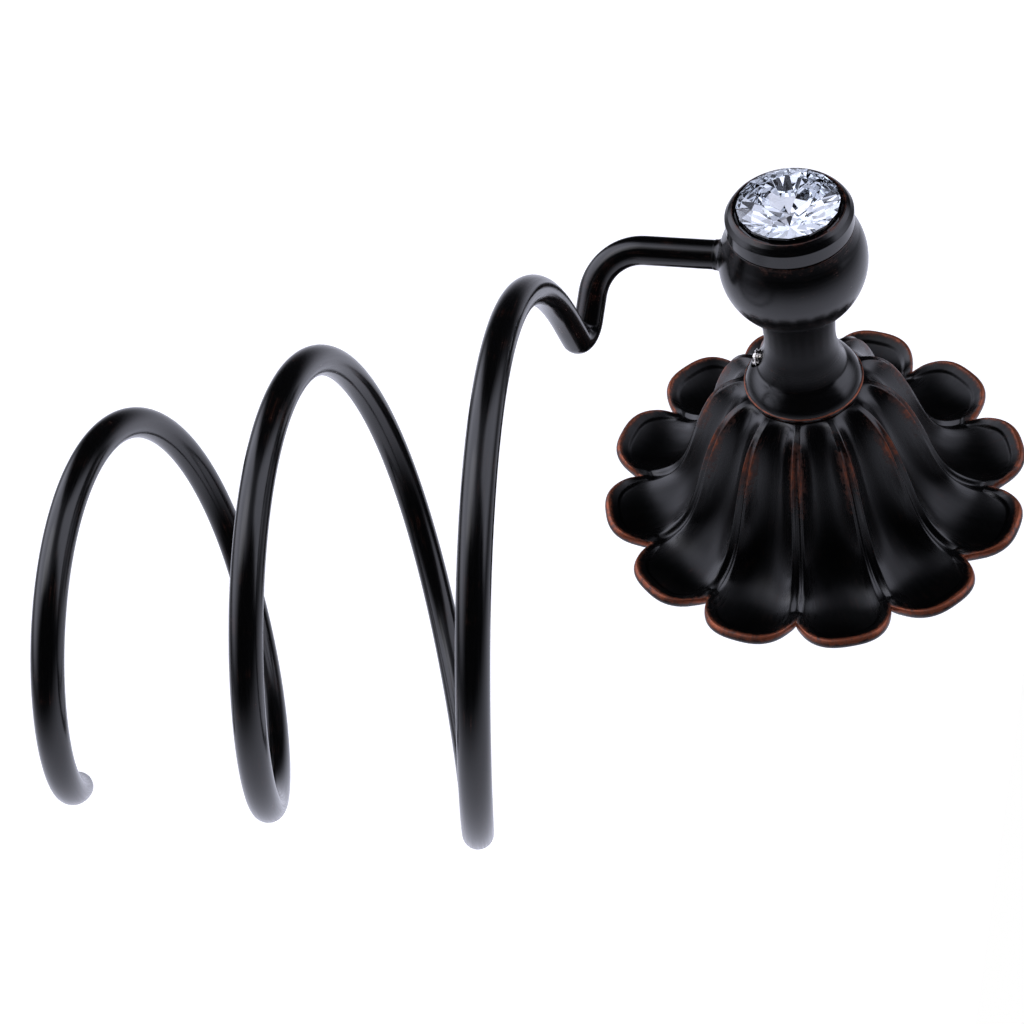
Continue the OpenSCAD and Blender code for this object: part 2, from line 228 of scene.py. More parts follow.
def bronze(name, streaks, rough):
    """Near-black oil-rubbed bronze, brushed along the grain, rubbed to copper where it is worn."""
    material, tree, shader = new_material(name)
    grain = add(tree, "ShaderNodeAttribute", attribute_name="grain").outputs["Vector"]
    wear = add(tree, "ShaderNodeAttribute", attribute_name="wear").outputs["Fac"]
    # Painted shade mask: parts where the bronze is set to reflect less
    painted_shade = add(tree, "ShaderNodeAttribute", attribute_name="painted_shade").outputs["Fac"]
    place = add(tree, "ShaderNodeTexCoord").outputs["Object"]
    fine = noise(tree, grain, 1.0, 4.0)
    broad = noise(tree, grain, 0.23, 3.0)
    patches = noise(tree, place, 260.0, 3.0)
    specks = noise(tree, place, 1100.0, 3.0, 0.6)
    rubbed = wear
    for texture, amount in ((fine, 0.40), (broad, 0.26), (specks, 0.70), (patches, 0.50)):
        part = math_node(tree, "MULTIPLY", math_node(tree, "SUBTRACT", texture, 0.5), amount)
        rubbed = math_node(tree, "ADD", rubbed, part)
    brown = spread(tree, rubbed, 0.17, 0.52)
    copper = spread(tree, rubbed, 0.44, 0.82)
    rust = math_node(tree, "MULTIPLY", spread(tree, patches, 0.50, 0.72),
                     spread(tree, fine, 0.48, 0.68, 0.0, streaks))
    dark = mix_colour(tree, rust, (0.0010, 0.0010, 0.0012, 1), (0.026, 0.0085, 0.0045, 1))
    tone = mix_colour(tree, brown, dark, (0.040, 0.0115, 0.006, 1))
    light_copper = mix_colour(tree, specks, (0.42, 0.125, 0.060, 1), (0.19, 0.050, 0.025, 1))
    colour = mix_colour(tree, copper, tone, light_copper)
    # Painted shade: where the mask is set the bronze is made a metal of that dark colour, so it reflects less
    # and has hardly any reflection head-on
    metal = math_node(tree, "MAXIMUM", math_node(tree, "MULTIPLY", copper, 0.8),
                      math_node(tree, "MULTIPLY", painted_shade, 0.72))
    gloss = math_node(tree, "ADD", spread(tree, fine, 0.3, 0.7, rough, rough + 0.08),
                      math_node(tree, "MULTIPLY", brown, 0.16))
    # The painted shade also makes the bronze a little rougher
    gloss = math_node(tree, "ADD", gloss, math_node(tree, "MULTIPLY", painted_shade, 0.12))
    bump = add(tree, "ShaderNodeBump", {"Height": fine, "Strength": 0.07, "Distance": 0.0001})
    tree.links.new(colour, shader.inputs["Base Color"])
    tree.links.new(metal, shader.inputs["Metallic"])
    tree.links.new(gloss, shader.inputs["Roughness"])
    tree.links.new(bump.outputs[0], shader.inputs["Normal"])
    return material


def worked_metal(name, colour, dark, rough, lines):
    """Bare metal with fine machining lines round the post's axis and light staining."""
    material, tree, shader = new_material(name)
    place = add(tree, "ShaderNodeTexCoord").outputs["Object"]
    parts = add(tree, "ShaderNodeSeparateXYZ", {0: place}).outputs
    radius = math_node(tree, "SQRT", math_node(tree, "ADD", math_node(tree, "MULTIPLY", parts[0], parts[0]),
                                               math_node(tree, "MULTIPLY", parts[2], parts[2])))
    ring = math_node(tree, "MULTIPLY", math_node(tree, "ADD", radius, parts[1]), lines)
    across = add(tree, "ShaderNodeCombineXYZ",
                 {0: ring, 1: math_node(tree, "MULTIPLY", parts[0], 60.0),
                  2: math_node(tree, "MULTIPLY", parts[2], 60.0)}).outputs[0]
    fine = noise(tree, across, 1.0, 3.0)
    stain = noise(tree, place, 160.0, 3.0)
    colour_out = mix_colour(tree, spread(tree, stain, 0.42, 0.70), colour, dark)
    tree.links.new(colour_out, shader.inputs["Base Color"])
    shader.inputs["Metallic"].default_value = 1.0
    tree.links.new(spread(tree, fine, 0.3, 0.7, rough, rough + 0.16), shader.inputs["Roughness"])
    bump = add(tree, "ShaderNodeBump", {"Height": fine, "Strength": 0.15, "Distance": 0.00005})
    tree.links.new(bump.outputs[0], shader.inputs["Normal"])
    return material


def rubber(name):
    material, tree, shader = new_material(name)
    place = add(tree, "ShaderNodeTexCoord").outputs["Object"]
    grainy = noise(tree, place, 2500.0, 2.0)
    tree.links.new(mix_colour(tree, grainy, (0.006, 0.006, 0.006, 1), (0.016, 0.016, 0.017, 1)),
                   shader.inputs["Base Color"])
    tree.links.new(spread(tree, grainy, 0.3, 0.7, 0.55, 0.75), shader.inputs["Roughness"])
    return material


GLASS_IOR = 1.56


def clear_glass(name):
    """Clear cut glass with a faint unevenness in its tint."""
    material, tree, shader = new_material(name)
    place = add(tree, "ShaderNodeTexCoord").outputs["Object"]
    haze = noise(tree, place, 900.0, 2.0)
    shader.inputs["Roughness"].default_value = 0.0
    tree.links.new(mix_colour(tree, haze, (0.97, 0.985, 1.0, 1), (0.99, 0.995, 1.0, 1)),
                   shader.inputs["Base Color"])
    shader.inputs["IOR"].default_value = GLASS_IOR
    shader.inputs["Transmission Weight"].default_value = 1.0
    return material


def silvering(name):
    """Mirror coating behind the glass."""
    material, tree, shader = new_material(name)
    place = add(tree, "ShaderNodeTexCoord").outputs["Object"]
    cloud = noise(tree, place, 700.0, 2.0)
    tree.links.new(mix_colour(tree, cloud, (0.86, 0.89, 0.93, 1), (0.95, 0.96, 0.97, 1)),
                   shader.inputs["Base Color"])
    shader.inputs["Roughness"].default_value = 0.0
    shader.inputs["Metallic"].default_value = 1.0
    return material


rosette_bronze = bronze("rosette_bronze", 0.25, 0.20)
turned_bronze = bronze("turned_bronze", 0.25, 0.17)
rod_bronze = bronze("rod_bronze", 0.8, 0.15)
screw_steel = worked_metal("screw_steel", (0.86, 0.83, 0.78, 1), (0.62, 0.56, 0.48, 1), 0.10, 1500.0)
plain_steel = worked_metal("plain_steel", (0.60, 0.61, 0.63, 1), (0.38, 0.38, 0.39, 1), 0.22, 5000.0)
zinc_plate = worked_metal("zinc_plate", (0.58, 0.57, 0.54, 1), (0.44, 0.43, 0.41, 1), 0.34, 2500.0)
black_rubber = rubber("black_rubber")
crystal_glass = clear_glass("crystal_glass")
mirror_foil = silvering("mirror_foil")

# ---------------------------------------------------------------- rosette


def bezier(points, s):
    """Points of the Bernstein curve over s."""
    points = np.asarray(points, float)
    n = len(points) - 1
    s = np.asarray(s, float)[..., None]
    return sum(math.comb(n, k) * s ** k * (1 - s) ** (n - k) * points[k] for k in range(n + 1))


def smooth(x, low, high):
    """0 up to low and 1 from high on, eased between."""
    u = np.clip((x - low) / (high - low), 0, 1)
    return u * u * (3 - 2 * u)


RIM_S = 0.985                      # where the petals' surface turns into the rounded rim
BEAD_W, BEAD_H = 2.3, 0.32         # width and height of the bead along the petals' edge
CREST = 0.84                       # where a petal's ribs crest, in half petals
VALLEY = 0.75                      # depth of the valley between two petals' ribs


def petal_surface(s, t):
    """(radius, out) of the rosette's outer surface at s down the petal and t across it."""
    away = np.abs(t)
    to_rim = smooth(s, 0.72, 0.97)
    soft = np.where(away < CREST, (away / CREST) ** 2.4, 1.0)
    share = soft * (1 - to_rim) + away ** 3 * to_rim
    point = bezier(HOLLOW_LINE, s) * (1 - share)[..., None] + bezier(RIB_LINE, s) * share[..., None]
    dip = VALLEY * smooth(away, CREST, 1.0) * smooth(s, 0.12, 0.32) * (1 - 0.55 * smooth(s, 0.85, 1.0))
    ahead = bezier(RIB_LINE, np.minimum(s + 0.01, 1)) - bezier(RIB_LINE, np.maximum(s - 0.01, 0))
    ahead /= np.linalg.norm(ahead, axis=-1)[..., None]
    inward = np.stack([ahead[..., 1], -ahead[..., 0]], -1)
    return point + inward * dip[..., None]


def petal_frame(s, t):
    """Unit direction down the petal, in (radius, out)."""
    ahead = petal_surface(np.minimum(s + 0.006, 1), t) - petal_surface(np.maximum(s - 0.006, 0), t)
    return ahead / np.linalg.norm(ahead, axis=-1)[..., None]


def flat(radius, t):
    """Plan position of a point at that radius and at t across the petal, from one notch to the next."""
    angle = t * math.pi / PETALS
    return np.stack([radius * np.cos(angle), radius * np.sin(angle)], -1)


def rim_distance(outer, tt):
    """Distance in plan from each outer point to the rosette's scalloped edge."""
    t = np.linspace(-3, 3, 361)
    edge = flat(petal_surface(np.full(t.shape, RIM_S), (t + 1) % 2 - 1)[..., 0], t)
    point = flat(outer[..., 0], tt).reshape(-1, 1, 2)
    return np.linalg.norm(point - edge, axis=-1).min(1).reshape(tt.shape)


def make_rosette():
    per_petal, rim_steps = 52, 12
    t = np.linspace(-1, 1, per_petal + 1)[:-1]
    s = np.concatenate([np.linspace(0, 0.84, 58, endpoint=False), np.linspace(0.84, RIM_S, 44)])
    rows = len(s)
    ss, tt = np.meshgrid(s, t, indexing="ij")
    outer = petal_surface(ss, tt)
    ahead = petal_frame(ss, tt)
    inward = np.stack([ahead[..., 1], -ahead[..., 0]], -1)
    inner = outer + inward * ROSETTE_T
    # A rolled bead follows the edge of every petal
    from_rim = rim_distance(outer, tt)
    outer = outer - inward * (BEAD_H * (1 - smooth(from_rim, BEAD_W * 0.6, BEAD_W)))[..., None]
    # The rim is rounded from the outer to the inner side
    middle = (outer[-1] + inner[-1]) / 2
    half = (inner[-1] - outer[-1]) / 2
    turn = np.linspace(0, math.pi, rim_steps + 2)[1:-1]
    bulge = ahead[-1] * (ROSETTE_T / 2 * 0.8)
    rim = np.stack([middle - half * math.cos(a) + bulge * math.sin(a) for a in turn])
    crown_top = np.broadcast_to(np.array([CROWN_BORE, CROWN_OUT]), outer[0].shape)
    crown_low = np.broadcast_to(np.array([CROWN_BORE, CROWN_OUT - ROSETTE_T]), outer[0].shape)
    section = np.concatenate([crown_top[None], outer, rim, inner[::-2], crown_low[None]])
    length = np.concatenate([[0], 5 + s * 52, np.full(rim_steps, 57.0) + np.arange(rim_steps) * 0.3,
                             (5 + s * 52)[::-2], [0]])
    # Copper on the rim, and on the ribs from the crown down
    rubbed = np.zeros(section.shape[:2])
    away = np.abs(t)
    crest = near(away, 0.86, 0.30)
    rubbed[1:rows + 1] = (0.70 * crest * near(s, 0.27, 0.22)[:, None]
                          + 0.14 * near(s, 0.10, 0.10)[:, None] * (0.4 + 0.6 * away)
                          + 0.12 * crest * near(s, 0.60, 0.35)[:, None])
    on_bead = 0.44 * (1 - smooth(from_rim, 0.0, 0.7)) + 0.14 * (1 - smooth(from_rim, 0.8, 2.4))
    rubbed[1:rows + 1] = np.maximum(rubbed[1:rows + 1], on_bead)
    rubbed[rows + 1:rows + 1 + rim_steps] = 0.68 - 0.50 * smooth(np.arange(rim_steps), 4, 9)[:, None]
    # Painted shade: the hollows between the ribs are set to reflect less
    painted_hollow_shade = np.zeros(section.shape[:2])
    painted_hollow_shade[1:rows + 1] = (1 - smooth(away, 0.45, 0.85)) * smooth(s, 0.25, 0.55)[:, None] * 0.75
    points, grain, wear, painted_shade = [], [], [], []
    for petal in range(PETALS):
        angle = 2 * math.pi * (petal + (t + 1) / 2) / PETALS + ROSETTE_TURN
        points.append(np.stack([section[..., 0] * np.cos(angle), section[..., 0] * np.sin(angle),
                                section[..., 1]], -1))
        width = np.broadcast_to(t * 8, section.shape[:2])
        grain.append(np.stack([np.broadcast_to(length[:, None] / 4, width.shape), width * 2.2,
                               np.full(width.shape, petal * 9.7)], -1))
        wear.append(rubbed)
        painted_shade.append(painted_hollow_shade)
    points = np.concatenate(points, 1)
    grain = np.concatenate(grain, 1)
    wear = np.concatenate(wear, 1)
    painted_shade = np.concatenate(painted_shade, 1)
    n_rows, n_columns = points.shape[:2]
    return make_piece("rosette_petals", points.reshape(-1, 3), grid_faces(n_rows, n_columns, True, True),
                      "rosette_body", ["rosette"], rosette_bronze,
                      grain.reshape(-1, 3), wear.ravel(), painted_shade.ravel())


make_rosette()

# ---------------------------------------------------------------- bent rod

COIL_START, COIL_TURNS = -0.21, 2.37
COIL_AT = [68.5, -37.7, 52.4]
LEAN, LIFT = math.radians(15.9), math.radians(1.1)
COIL_R, TAPER, TAPER_GROWTH, TAPER_EASE = 50.4, 7.9, 0.78, 0.4
PITCH, PITCH_LOSS, PITCH_EASE = 44.8, 5.2, 1.13
ARM_ROOT, ARM_REACH, ARM_BEND_R = 13.0, 39, 10.4
HOOK_LEAD, HOOK_BEND_R = 12.6, 3.7
ROD_SIDES, COIL_STEPS = 40, 520


def unit(v):
    """v at length 1."""
    v = np.asarray(v, float)
    return v / np.linalg.norm(v)


coil_dir = unit([math.sin(LEAN), -math.cos(LEAN), math.sin(LIFT)])
coil_out_dir = unit(np.array([0, 0, 1.0]) - coil_dir * coil_dir[2])
coil_side_dir = np.cross(coil_out_dir, coil_dir)


def coil_point(n):
    """The rod's centre n turns down the coil."""
    radius = COIL_R - TAPER * n - TAPER_GROWTH * n ** 2 + TAPER_EASE * n ** 3
    travel = PITCH * n - PITCH_LOSS * n ** 2 + PITCH_EASE * n ** 3
    angle = 2 * math.pi * n
    return (np.array(COIL_AT) + travel * coil_dir
            + radius * (math.cos(angle) * coil_out_dir + math.sin(angle) * coil_side_dir))


def bend(before, corner, after, radius, steps):
    """Points of the arc that rounds a corner of the rod's path."""
    a, b = unit(before - corner), unit(after - corner)
    half = math.acos(float(a @ b)) / 2
    centre = corner + unit(a + b) * radius / math.sin(half)
    first = unit(corner + a * radius / math.tan(half) - centre)
    last = unit(corner + b * radius / math.tan(half) - centre)
    sweep = math.pi - 2 * half
    return [centre + radius * (first * math.sin(sweep * (1 - i / steps)) + last * math.sin(sweep * i / steps))
            / math.sin(sweep) for i in range(steps + 1)]


def make_rod():
    entry = coil_point(COIL_START)
    entry_dir = unit(coil_point(COIL_START + 0.001) - entry)
    hook_corner = entry - HOOK_LEAD * entry_dir
    arm_corner = np.array([0, -ARM_REACH, BALL_OUT])
    root = np.array([0, -ARM_ROOT, BALL_OUT])
    path = ([root] + bend(root, arm_corner, hook_corner, ARM_BEND_R, 20)
            + bend(arm_corner, hook_corner, entry, HOOK_BEND_R, 22)
            + [coil_point(COIL_START + (COIL_TURNS - COIL_START) * i / COIL_STEPS)
               for i in range(COIL_STEPS + 1)])
    path = np.array(path)
    ahead = np.zeros_like(path)
    ahead[1:-1] = path[2:] - path[:-2]
    ahead[0], ahead[-1] = path[1] - path[0], path[-1] - path[-2]
    ahead /= np.linalg.norm(ahead, axis=1)[:, None]
    along = np.concatenate([[0], np.cumsum(np.linalg.norm(np.diff(path, axis=0), axis=1))])
    radius = np.full(len(path), ROD_R)
    # Flat cut end with its edge broken: how far back from the end, and the radius there
    cut_end = ((0.4, ROD_R), (0.1, ROD_R - 0.05), (0.0, ROD_R - 0.2), (0.0, ROD_R - 0.35), (0.0, 0.02))
    for back, r in cut_end:
        path = np.vstack([path, path[len(along) - 1] - ahead[len(along) - 1] * back])
        ahead = np.vstack([ahead, ahead[-1]])
        radius = np.append(radius, r)
    keep = [i for i in range(len(path)) if i != len(along) - 1]
    path, ahead, radius = path[keep], ahead[keep], radius[keep]
    distance = np.append(along[:-1], np.full(len(cut_end), along[-1]))
    side = unit(np.array([1.0, 0, 0]) - ahead[0] * ahead[0][0])
    points, grain = [], []
    angle = np.linspace(0, 2 * math.pi, ROD_SIDES, endpoint=False)
    for p, d, r, s in zip(path, ahead, radius, distance):
        side = unit(side - d * (side @ d))
        other = np.cross(d, side)
        points.append(p + r * (np.cos(angle)[:, None] * side + np.sin(angle)[:, None] * other))
        grain.append(np.stack([np.full(ROD_SIDES, s / 12), r * np.cos(angle) * 3.5,
                               r * np.sin(angle) * 3.5], -1))
    points = np.array(points).reshape(-1, 3)
    faces = grid_faces(len(path), ROD_SIDES, False, True)
    faces.append(tuple(range(ROD_SIDES))[::-1])
    faces.append(tuple(range(len(points) - ROD_SIDES, len(points))))
    grain = np.array(grain).reshape(-1, 3)
    s = np.repeat(distance, ROD_SIDES)
    wear = 0.06 + 0.12 * near(s, 30, 14) + 0.08 * near(s, 52, 14)
    rod = make_piece("spiral_rod", points, faces, "arm_body", ["spiral_arm"], rod_bronze,
                     grain, wear)
    smooth_by_angle(rod, 50)
    return rod


make_rod()

# ---------------------------------------------------------------- post, ball and cap

CUT_LENGTH = 20                    # long enough to come out of the piece


def cut_hole(piece, at, axis, radius, length):
    """Cuts a round hole from point at along axis out of the piece, in wall coordinates."""
    start, way = Vector(to_row(at)), Vector(to_row(axis)).normalized()
    bpy.ops.mesh.primitive_cylinder_add(vertices=48, radius=radius / 1000, depth=length / 1000)
    cutter = bpy.context.object
    cutter.matrix_world = (Matrix.Translation(start + way * length / 2000)
                           @ way.to_track_quat("Z", "Y").to_matrix().to_4x4())
    cut = piece.modifiers.new("hole", "BOOLEAN")
    cut.object = cutter
    cut.operation = "DIFFERENCE"
    cut.solver = "EXACT"
    bpy.context.view_layer.update()
    made = bpy.data.meshes.new_from_object(piece.evaluated_get(bpy.context.evaluated_depsgraph_get()))
    piece.modifiers.clear()
    piece.data = made
    bpy.data.objects.remove(cutter)


# Post: its foot's edge band, a rounded skirt up to the crease, then the waisted neck up to the ball
BALL_FLAT_R = math.sqrt(BALL_R ** 2 - (BALL_OUT - POST_TOP) ** 2)


def neck_radius(out):
    """Radius of the post's neck, narrowest at NECK_OUT."""
    away = (out - NECK_OUT) / (CREASE_OUT - NECK_OUT if out < NECK_OUT else POST_TOP - NECK_OUT)
    return NECK_R + ((CREASE_R if out < NECK_OUT else BALL_FLAT_R) - NECK_R) * away * away


foot_ends = np.array([(FOOT_R - 0.3, POST_FOOT + FOOT_BAND), (FOOT_R - 0.7, FOOT_SHOULDER),
                      (CREASE_R, CREASE_OUT)])
foot_side = [tuple((1 - u) ** 2 * foot_ends[0] + 2 * u * (1 - u) * foot_ends[1] + u * u * foot_ends[2])
             for u in np.linspace(0.03, 0.97, 22)]
edge_band = rounded([(FOOT_R - 1.2, POST_FOOT, 0), (FOOT_R, POST_FOOT, 0.3),
                     (FOOT_R, POST_FOOT + FOOT_BAND, 0.3), foot_side[0] + (0,)], 4)
neck = [(neck_radius(z), z) for z in np.linspace(CREASE_OUT + 0.12, POST_TOP, 40)]
post_profile = ([(PILLAR_BORE, POST_FOOT)] + [tuple(p) for p in edge_band] + foot_side[1:] + neck
                + [(BOLT_HOLE, POST_TOP), (BOLT_HOLE, BORE_TOP), (PILLAR_BORE, BORE_TOP)])
points, faces = turned(post_profile)
radius = np.hypot(points[:, 0], points[:, 1])
low_edge = near(points[:, 2], POST_FOOT + 0.1, 0.30) * smooth(radius, FOOT_R - 0.6, FOOT_R - 0.1)
high_edge = near(points[:, 2], POST_FOOT + FOOT_BAND, 0.30) * smooth(radius, FOOT_R - 0.6, FOOT_R - 0.2)
wear = np.maximum(np.maximum(0.60 * low_edge, 0.78 * high_edge), 0.05)
# Painted shade: the neck above the crease reflects less, as if the rosette shaded its reflection
painted_shade = 0.9 * smooth(points[:, 2], CREASE_OUT + 1, CREASE_OUT + 5)
post = make_piece("post_turned", points, faces, "post_body", ["post"], turned_bronze,
                  turned_grain(points), wear, painted_shade)
cut_hole(post, (0, 0, SET_SCREW_OUT), (0, -1, 0), SCREW_HOLE_R, CUT_LENGTH)
smooth_by_angle(post, 35)

# Ball, with its flattened shoulder, its cavity and the boss that the rod goes into
CAVITY_R, CAVITY_FLOOR = 10.05, 74.0
COUNTERBORE_R, BOLT_SEAT, BOLT_CLEAR = 5.3, 64.5, 3.2
SHOULDER = math.acos(SHOULDER_R / BALL_R)
sphere = [(BALL_R * math.cos(a), BALL_OUT + BALL_R * math.sin(a))
          for a in np.linspace(math.asin((POST_TOP - BALL_OUT) / BALL_R), SHOULDER, 56)]
ball_profile = (sphere[:-1] + [tuple(p) for p in rounded(
    [sphere[-1] + (0,), (TOP_R - 0.13, BALL_RIM - 0.05, 0.15), (CAVITY_R, BALL_RIM, 0)], 4)]
    + [(CAVITY_R, CAVITY_FLOOR), (COUNTERBORE_R, CAVITY_FLOOR), (COUNTERBORE_R, BOLT_SEAT),
       (BOLT_CLEAR, BOLT_SEAT), (BOLT_CLEAR, POST_TOP)])
points, faces = turned(ball_profile, 192)
radius = np.hypot(points[:, 0], points[:, 1])
wear = np.maximum(0.06, 0.40 * near(points[:, 2], BALL_RIM - 0.1, 0.3) * smooth(radius, 11.7, 12.0))
ball = make_piece("ball_turned", points, faces, "post_body", ["ball"], turned_bronze,
                  turned_grain(points), wear)
cut_hole(ball, (0, 0, BALL_OUT), (0, -1, 0), TENON_BORE, CUT_LENGTH)
cut_hole(ball, (0, LOCK_SCREW_SIDE, BALL_OUT), (0, 0, 1), SCREW_HOLE_R, CUT_LENGTH)
smooth_by_angle(ball, 35)

BOSS_START, BOSS_END, BOSS_INSIDE = 13.4, 15.5, 12.9
BOSS_FLARE, BOSS_BORE = 1.75, 2.6
boss_profile = [(ROD_R + BOSS_FLARE * (1 - u) ** 3 + 0.12, BOSS_START + 2.0 * u)
                for u in np.linspace(0, 1, 14)]
boss_profile += [(ROD_R + 0.02, BOSS_END), (BOSS_BORE, BOSS_END), (BOSS_BORE, BOSS_INSIDE),
                 (BOSS_BORE + 2.0, BOSS_INSIDE)]
turned_points, faces = turned(boss_profile, 64)
points = np.stack([turned_points[:, 0], -turned_points[:, 2], turned_points[:, 1] + BALL_OUT], -1)
boss = make_piece("ball_boss", points, faces, "post_body", [], turned_bronze,
                  turned_grain(turned_points), np.full(len(points), 0.12))
smooth_by_angle(boss, 35)

# Cap ring: a straight band, a sloping band above it, and a narrow rim round the crystal
SPIGOT_R, SPIGOT_END, CAP_BORE, RIM_R, SEAT_R = 10.0, 76.8, 8.6, 10.8, 9.8


def seat_out(at):
    """Height of the seat behind the crystal's foil at that radius."""
    return GIRDLE_OUT - (GIRDLE_R - at) * PAVILION_SLOPE - 0.3


cap_profile = rounded([
    (CAP_BORE, SPIGOT_END, 0), (SPIGOT_R, SPIGOT_END, 0.2), (SPIGOT_R, CAP_BASE, 0),
    (TOP_R - 0.02, CAP_BASE, 0.18), (TOP_R - 0.02, CAP_BASE + 2.95, 0.22),
    (TOP_R - 0.72, CAP_BASE + 4.0, 0.5), (RIM_R + 0.12, CAP_TOP - 0.1, 0.12),
    (RIM_R - 0.1, CAP_TOP, 0.1), (SEAT_R, seat_out(SEAT_R), 0), (CAP_BORE, seat_out(CAP_BORE), 0)], 5)
points, faces = turned(cap_profile, 192)
radius = np.hypot(points[:, 0], points[:, 1])
wear = np.maximum(0.06, 0.60 * near(radius, RIM_R, 0.25) * (points[:, 2] > CAP_TOP - 0.4))
cap = make_piece("cap_turned", points, faces, "cap_body", ["cap_ring"], turned_bronze,
                 turned_grain(points), wear)
smooth_by_angle(cap, 40)

# ---------------------------------------------------------------- crystal


def make_crystal():
    """A round brilliant: table, stars, kites and girdle facets over mains and lower halves.

    The girdle and everything under it are silvered.
    """
    low, high = GIRDLE_OUT, GIRDLE_OUT + GIRDLE_H
    depth = (GIRDLE_R - 0.4) * PAVILION_SLOPE
    step = math.pi / 8

    def at(radius, k, out):
        return (radius * math.cos(step * k + 0.2), radius * math.sin(step * k + 0.2), out)

    star_out = high + CROWN_H * (GIRDLE_R - STAR_R * math.cos(step)) / (GIRDLE_R - TABLE_R)
    lower_out = low - depth * (1 - LOWER_R * math.cos(step) / GIRDLE_R)
    points = [at(TABLE_R, k, high + CROWN_H) for k in range(0, 16, 2)]             # 0: table corners
    points += [at(STAR_R, k, star_out) for k in range(1, 16, 2)]                   # 8: star points
    points += [at(GIRDLE_R, k, high) for k in range(16)]                           # 16: upper girdle
    points += [at(GIRDLE_R, k, low) for k in range(16)]                            # 32: lower girdle
    points += [at(LOWER_R, k, lower_out) for k in range(1, 16, 2)]                 # 48: lower halves
    points += [(0, 0, low - depth)]                                                # 56: culet
    crown = [tuple(range(8))]
    pavilion, girdle = [], []
    for k in range(8):
        after = (k + 1) % 8
        before = (k + 7) % 8
        crown.append((k, 8 + k, after))
        crown.append((k, 8 + before, 16 + 2 * k, 8 + k))
        crown.append((8 + k, 16 + 2 * k, 16 + 2 * k + 1))
        crown.append((8 + k, 16 + 2 * k + 1, 16 + 2 * after))
        pavilion.append((56, 48 + k, 32 + 2 * k, 48 + before))
        pavilion.append((48 + k, 32 + 2 * k + 1, 32 + 2 * k))
        pavilion.append((48 + k, 32 + 2 * after, 32 + 2 * k + 1))
    for k in range(16):
        after = (k + 1) % 16
        girdle.append((16 + k, 32 + k, 32 + after, 16 + after))
    piece = make_piece("cut_crystal", points, crown + girdle + pavilion, "cap_body", ["crystal"],
                       crystal_glass)
    piece.data.materials.append(mirror_foil)
    for i, face in enumerate(piece.data.polygons):
        face.use_smooth = False
        face.material_index = int(i >= len(crown))
    return piece


make_crystal()

# ---------------------------------------------------------------- threaded screws


def make_screw(name, node, body, start, axis, length, pitch=0.7, major=1.98, minor=1.62):
    """A grub screw with its thread cut in, a hex socket at the outer end and a cup point."""
    columns = 36
    rows = int(length / pitch * 10)
    z = np.linspace(0, length, rows)
    angle = np.linspace(0, 2 * math.pi, columns, endpoint=False)
    zz, aa = np.meshgrid(z, angle, indexing="ij")
    phase = (zz / pitch - aa / (2 * math.pi)) % 1
    tooth = np.clip(np.abs(phase - 0.5) * 2.6 - 0.25, 0, 1)
    ends = np.minimum(smooth(zz, 0, 0.5), smooth(length - zz, 0, 0.5))
    radius = minor + (major - minor) * tooth * (0.25 + 0.75 * ends) - 0.2 * (1 - ends)
    body_rows = np.stack([radius * np.cos(aa), radius * np.sin(aa), zz], -1)

    def ring(r, out):
        return np.stack([np.full(columns, r) * np.cos(angle), np.full(columns, r) * np.sin(angle),
                         np.full(columns, out)], -1)[None]

    def hexagon(out):
        across = 1.0
        r = across / np.cos((angle + math.pi / 6) % (math.pi / 3) - math.pi / 6)
        return np.stack([r * np.cos(angle), r * np.sin(angle), np.full(columns, out)], -1)[None]

    local = np.concatenate([ring(0.02, 0.35), ring(0.7, 0.02), body_rows, ring(1.25, length),
                            hexagon(length - 0.03), hexagon(length - 0.08), hexagon(length * 0.6),
                            ring(0.02, length * 0.6)])
    rows = local.shape[0]
    z_axis = unit(axis)
    x_axis = unit(np.cross([0.3, 0.5, 0.8], z_axis))
    turn = np.stack([x_axis, np.cross(z_axis, x_axis), z_axis])
    points = local.reshape(-1, 3) @ turn + np.asarray(start, float)
    faces = grid_faces(rows, columns, False, True)
    faces.append(tuple(range(columns))[::-1])
    faces.append(tuple(range((rows - 1) * columns, rows * columns)))
    screw = make_piece(name, points, faces, body, [node], screw_steel)
    smooth_by_angle(screw, 40)
    return screw


make_screw("set_screw_threaded", "set_screw", "set_screw_body",
           (0, -PILLAR_BORE, SET_SCREW_OUT), (0, -1, 0), SET_SCREW_LEN)
make_screw("lock_screw_threaded", "arm_lock_screw", "lock_screw_body",
           (0, LOCK_SCREW_SIDE, LOCK_SCREW_OUT), (0, 0, 1), LOCK_SCREW_LEN)

# ---------------------------------------------------------------- CAD pieces that stay

for node, material in (("wall_plate", zinc_plate), ("plate_stud", plain_steel),
                       ("pillar_washer", plain_steel), ("wall_pillar", plain_steel),
                       ("ball_bolt", plain_steel), ("ball_washer", plain_steel),
                       ("cap_seal", black_rubber), ("crystal_foil", mirror_foil)):
    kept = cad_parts[node].data
    kept.materials.clear()
    kept.materials.append(material)

# ---------------------------------------------------------------- floor, light and camera


